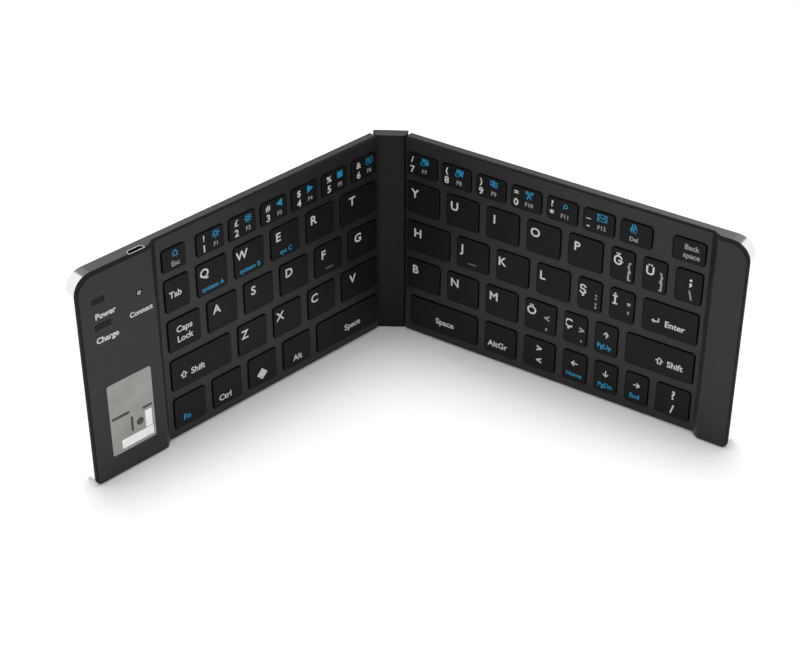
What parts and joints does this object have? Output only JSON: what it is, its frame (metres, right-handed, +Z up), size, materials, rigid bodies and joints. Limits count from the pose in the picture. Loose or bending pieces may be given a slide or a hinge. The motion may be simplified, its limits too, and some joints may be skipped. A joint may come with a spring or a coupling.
{
  "type": "folding keyboard",
  "caption": "Slim wireless keyboard in two halves that fold together on a double-hinged spine, standing upright half folded.",
  "frame": {"origin": "on the ground under the spine, midway between the two hinge axes", "axes": "+Z up along the hinge axes; +X along the spine's face, from the half with the escape key towards the half with the enter key; the keys look towards -Y"},
  "size_m": [0.2555, 0.12, 0.095],
  "materials": {
    "keycap_black": "satin black moulded plastic",
    "frame_black": "satin dark grey",
    "spine_black": "satin dark grey",
    "silver_aluminium": "fine satin, silver",
    "hinge_steel": "plain",
    "plate_steel": "plain sheet",
    "dome_rubber": "matt, translucent grey",
    "foot_rubber": "matt",
    "magnet_nickel": "nickel plated",
    "cable_film": "polyimide film",
    "board_green": "solder resist",
    "module_can": "tinned can",
    "battery_foil": "foil pouch",
    "port_steel": "pressed shell",
    "lens_dark": "smoked, clear through",
    "label_silver": "printed foil, bare"
  },
  "bodies": {
    "spine": {"spine_channel": "spine_black", "spine_face_cover": "spine_black", "spine_bottom_cap": "spine_black", "spine_top_cap": "spine_black", "left_hinge_pin": "hinge_steel", "right_hinge_pin": "hinge_steel", "ribbon_cable": "cable_film"},
    "left_half": {"left_back_cover": "silver_aluminium", "left_key_frame": "frame_black", "left_hinge_leaf": "hinge_steel", "left_support_plate": "plate_steel", "left_dome_sheet": "dome_rubber", "left_magnets": "magnet_nickel", "left_feet": "foot_rubber", "main_board": "board_green", "radio_module": "module_can", "battery": "battery_foil", "charging_port": "port_steel", "indicator_lenses": "lens_dark", "label_plate": "label_silver"},
    "right_half": {"right_back_cover": "silver_aluminium", "right_key_frame": "frame_black", "right_hinge_leaf": "hinge_steel", "right_support_plate": "plate_steel", "right_dome_sheet": "dome_rubber", "right_magnets": "magnet_nickel", "right_feet": "foot_rubber"},
    "escape_key": {"escape_key": "keycap_black"},
    "left_number_keys": {"left_number_keys": "keycap_black"},
    "tab_key": {"tab_key": "keycap_black"},
    "left_upper_letter_keys": {"left_upper_letter_keys": "keycap_black"},
    "caps_lock_key": {"caps_lock_key": "keycap_black"},
    "left_home_letter_keys": {"left_home_letter_keys": "keycap_black"},
    "left_shift_key": {"left_shift_key": "keycap_black"},
    "left_lower_letter_keys": {"left_lower_letter_keys": "keycap_black"},
    "function_key": {"function_key": "keycap_black"},
    "control_key": {"control_key": "keycap_black"},
    "start_key": {"start_key": "keycap_black"},
    "alt_key": {"alt_key": "keycap_black"},
    "left_space_key": {"left_space_key": "keycap_black"},
    "right_number_keys": {"right_number_keys": "keycap_black"},
    "extra_symbol_key": {"extra_symbol_key": "keycap_black"},
    "backspace_key": {"backspace_key": "keycap_black"},
    "right_upper_letter_keys": {"right_upper_letter_keys": "keycap_black"},
    "right_upper_accent_keys": {"right_upper_accent_keys": "keycap_black"},
    "comma_key": {"comma_key": "keycap_black"},
    "right_home_letter_keys": {"right_home_letter_keys": "keycap_black"},
    "right_home_accent_keys": {"right_home_accent_keys": "keycap_black"},
    "enter_key": {"enter_key": "keycap_black"},
    "right_lower_letter_keys": {"right_lower_letter_keys": "keycap_black"},
    "right_lower_accent_keys": {"right_lower_accent_keys": "keycap_black"},
    "full_stop_key": {"full_stop_key": "keycap_black"},
    "right_shift_key": {"right_shift_key": "keycap_black"},
    "right_space_key": {"right_space_key": "keycap_black"},
    "alt_gr_key": {"alt_gr_key": "keycap_black"},
    "angle_bracket_key": {"angle_bracket_key": "keycap_black"},
    "arrow_left_key": {"arrow_left_key": "keycap_black"},
    "arrow_down_key": {"arrow_down_key": "keycap_black"},
    "arrow_right_key": {"arrow_right_key": "keycap_black"},
    "question_key": {"question_key": "keycap_black"}
  },
  "joints": [
    {"name": "left_fold", "type": "hinge", "parent": "spine", "child": "left_half", "pos_m": [-0.0053, 0, 0], "axis": [0, 0, 1], "range_deg": [-47, 43]},
    {"name": "right_fold", "type": "hinge", "parent": "spine", "child": "right_half", "pos_m": [0.0053, 0, 0], "axis": [0, 0, -1], "range_deg": [-30, 60]},
    {"name": "escape_press", "type": "slide", "parent": "left_half", "child": "escape_key", "axis": [-0.7314, 0.682, 0], "range_m": [0, 0.0013], "stiffness_N_per_m": 300, "springref_m": -0.0005, "deforming": ["left_dome_sheet"]},
    {"name": "left_number_press", "type": "slide", "parent": "left_half", "child": "left_number_keys", "axis": [-0.7314, 0.682, 0], "range_m": [0, 0.0013], "stiffness_N_per_m": 1800, "springref_m": -0.0005, "deforming": ["left_dome_sheet"]},
    {"name": "tab_press", "type": "slide", "parent": "left_half", "child": "tab_key", "axis": [-0.7314, 0.682, 0], "range_m": [0, 0.0013], "stiffness_N_per_m": 300, "springref_m": -0.0005, "deforming": ["left_dome_sheet"]},
    {"name": "left_upper_letter_press", "type": "slide", "parent": "left_half", "child": "left_upper_letter_keys", "axis": [-0.7314, 0.682, 0], "range_m": [0, 0.0013], "stiffness_N_per_m": 1500, "springref_m": -0.0005, "deforming": ["left_dome_sheet"]},
    {"name": "caps_lock_press", "type": "slide", "parent": "left_half", "child": "caps_lock_key", "axis": [-0.7314, 0.682, 0], "range_m": [0, 0.0013], "stiffness_N_per_m": 300, "springref_m": -0.0005, "deforming": ["left_dome_sheet"]},
    {"name": "left_home_letter_press", "type": "slide", "parent": "left_half", "child": "left_home_letter_keys", "axis": [-0.7314, 0.682, 0], "range_m": [0, 0.0013], "stiffness_N_per_m": 1500, "springref_m": -0.0005, "deforming": ["left_dome_sheet"]},
    {"name": "left_shift_press", "type": "slide", "parent": "left_half", "child": "left_shift_key", "axis": [-0.7314, 0.682, 0], "range_m": [0, 0.0013], "stiffness_N_per_m": 300, "springref_m": -0.0005, "deforming": ["left_dome_sheet"]},
    {"name": "left_lower_letter_press", "type": "slide", "parent": "left_half", "child": "left_lower_letter_keys", "axis": [-0.7314, 0.682, 0], "range_m": [0, 0.0013], "stiffness_N_per_m": 1200, "springref_m": -0.0005, "deforming": ["left_dome_sheet"]},
    {"name": "function_press", "type": "slide", "parent": "left_half", "child": "function_key", "axis": [-0.7314, 0.682, 0], "range_m": [0, 0.0013], "stiffness_N_per_m": 300, "springref_m": -0.0005, "deforming": ["left_dome_sheet"]},
    {"name": "control_press", "type": "slide", "parent": "left_half", "child": "control_key", "axis": [-0.7314, 0.682, 0], "range_m": [0, 0.0013], "stiffness_N_per_m": 300, "springref_m": -0.0005, "deforming": ["left_dome_sheet"]},
    {"name": "start_press", "type": "slide", "parent": "left_half", "child": "start_key", "axis": [-0.7314, 0.682, 0], "range_m": [0, 0.0013], "stiffness_N_per_m": 300, "springref_m": -0.0005, "deforming": ["left_dome_sheet"]},
    {"name": "alt_press", "type": "slide", "parent": "left_half", "child": "alt_key", "axis": [-0.7314, 0.682, 0], "range_m": [0, 0.0013], "stiffness_N_per_m": 300, "springref_m": -0.0005, "deforming": ["left_dome_sheet"]},
    {"name": "left_space_press", "type": "slide", "parent": "left_half", "child": "left_space_key", "axis": [-0.7314, 0.682, 0], "range_m": [0, 0.0013], "stiffness_N_per_m": 300, "springref_m": -0.0005, "deforming": ["left_dome_sheet"]},
    {"name": "right_number_press", "type": "slide", "parent": "right_half", "child": "right_number_keys", "axis": [0.5, 0.866, 0], "range_m": [0, 0.0013], "stiffness_N_per_m": 1800, "springref_m": -0.0005, "deforming": ["right_dome_sheet"]},
    {"name": "extra_symbol_press", "type": "slide", "parent": "right_half", "child": "extra_symbol_key", "axis": [0.5, 0.866, 0], "range_m": [0, 0.0013], "stiffness_N_per_m": 300, "springref_m": -0.0005, "deforming": ["right_dome_sheet"]},
    {"name": "backspace_press", "type": "slide", "parent": "right_half", "child": "backspace_key", "axis": [0.5, 0.866, 0], "range_m": [0, 0.0013], "stiffness_N_per_m": 300, "springref_m": -0.0005, "deforming": ["right_dome_sheet"]},
    {"name": "right_upper_letter_press", "type": "slide", "parent": "right_half", "child": "right_upper_letter_keys", "axis": [0.5, 0.866, 0], "range_m": [0, 0.0013], "stiffness_N_per_m": 1500, "springref_m": -0.0005, "deforming": ["right_dome_sheet"]},
    {"name": "right_upper_accent_press", "type": "slide", "parent": "right_half", "child": "right_upper_accent_keys", "axis": [0.5, 0.866, 0], "range_m": [0, 0.0013], "stiffness_N_per_m": 600, "springref_m": -0.0005, "deforming": ["right_dome_sheet"]},
    {"name": "comma_press", "type": "slide", "parent": "right_half", "child": "comma_key", "axis": [0.5, 0.866, 0], "range_m": [0, 0.0013], "stiffness_N_per_m": 300, "springref_m": -0.0005, "deforming": ["right_dome_sheet"]},
    {"name": "right_home_letter_press", "type": "slide", "parent": "right_half", "child": "right_home_letter_keys", "axis": [0.5, 0.866, 0], "range_m": [0, 0.0013], "stiffness_N_per_m": 1200, "springref_m": -0.0005, "deforming": ["right_dome_sheet"]},
    {"name": "right_home_accent_press", "type": "slide", "parent": "right_half", "child": "right_home_accent_keys", "axis": [0.5, 0.866, 0], "range_m": [0, 0.0013], "stiffness_N_per_m": 600, "springref_m": -0.0005, "deforming": ["right_dome_sheet"]},
    {"name": "enter_press", "type": "slide", "parent": "right_half", "child": "enter_key", "axis": [0.5, 0.866, 0], "range_m": [0, 0.0013], "stiffness_N_per_m": 300, "springref_m": -0.0005, "deforming": ["right_dome_sheet"]},
    {"name": "right_lower_letter_press", "type": "slide", "parent": "right_half", "child": "right_lower_letter_keys", "axis": [0.5, 0.866, 0], "range_m": [0, 0.0013], "stiffness_N_per_m": 900, "springref_m": -0.0005, "deforming": ["right_dome_sheet"]},
    {"name": "right_lower_accent_press", "type": "slide", "parent": "right_half", "child": "right_lower_accent_keys", "axis": [0.5, 0.866, 0], "range_m": [0, 0.0013], "stiffness_N_per_m": 600, "springref_m": -0.0005, "deforming": ["right_dome_sheet"]},
    {"name": "full_stop_press", "type": "slide", "parent": "right_half", "child": "full_stop_key", "axis": [0.5, 0.866, 0], "range_m": [0, 0.0013], "stiffness_N_per_m": 300, "springref_m": -0.0005, "deforming": ["right_dome_sheet"]},
    {"name": "right_shift_press", "type": "slide", "parent": "right_half", "child": "right_shift_key", "axis": [0.5, 0.866, 0], "range_m": [0, 0.0013], "stiffness_N_per_m": 300, "springref_m": -0.0005, "deforming": ["right_dome_sheet"]},
    {"name": "right_space_press", "type": "slide", "parent": "right_half", "child": "right_space_key", "axis": [0.5, 0.866, 0], "range_m": [0, 0.0013], "stiffness_N_per_m": 300, "springref_m": -0.0005, "deforming": ["right_dome_sheet"]},
    {"name": "alt_gr_press", "type": "slide", "parent": "right_half", "child": "alt_gr_key", "axis": [0.5, 0.866, 0], "range_m": [0, 0.0013], "stiffness_N_per_m": 300, "springref_m": -0.0005, "deforming": ["right_dome_sheet"]},
    {"name": "angle_bracket_press", "type": "slide", "parent": "right_half", "child": "angle_bracket_key", "axis": [0.5, 0.866, 0], "range_m": [0, 0.0013], "stiffness_N_per_m": 300, "springref_m": -0.0005, "deforming": ["right_dome_sheet"]},
    {"name": "arrow_left_press", "type": "slide", "parent": "right_half", "child": "arrow_left_key", "axis": [0.5, 0.866, 0], "range_m": [0, 0.0013], "stiffness_N_per_m": 300, "springref_m": -0.0005, "deforming": ["right_dome_sheet"]},
    {"name": "arrow_down_press", "type": "slide", "parent": "right_half", "child": "arrow_down_key", "axis": [0.5, 0.866, 0], "range_m": [0, 0.0013], "stiffness_N_per_m": 300, "springref_m": -0.0005, "deforming": ["right_dome_sheet"]},
    {"name": "arrow_right_press", "type": "slide", "parent": "right_half", "child": "arrow_right_key", "axis": [0.5, 0.866, 0], "range_m": [0, 0.0013], "stiffness_N_per_m": 300, "springref_m": -0.0005, "deforming": ["right_dome_sheet"]},
    {"name": "question_press", "type": "slide", "parent": "right_half", "child": "question_key", "axis": [0.5, 0.866, 0], "range_m": [0, 0.0013], "stiffness_N_per_m": 300, "springref_m": -0.0005, "deforming": ["right_dome_sheet"]}
  ]
}
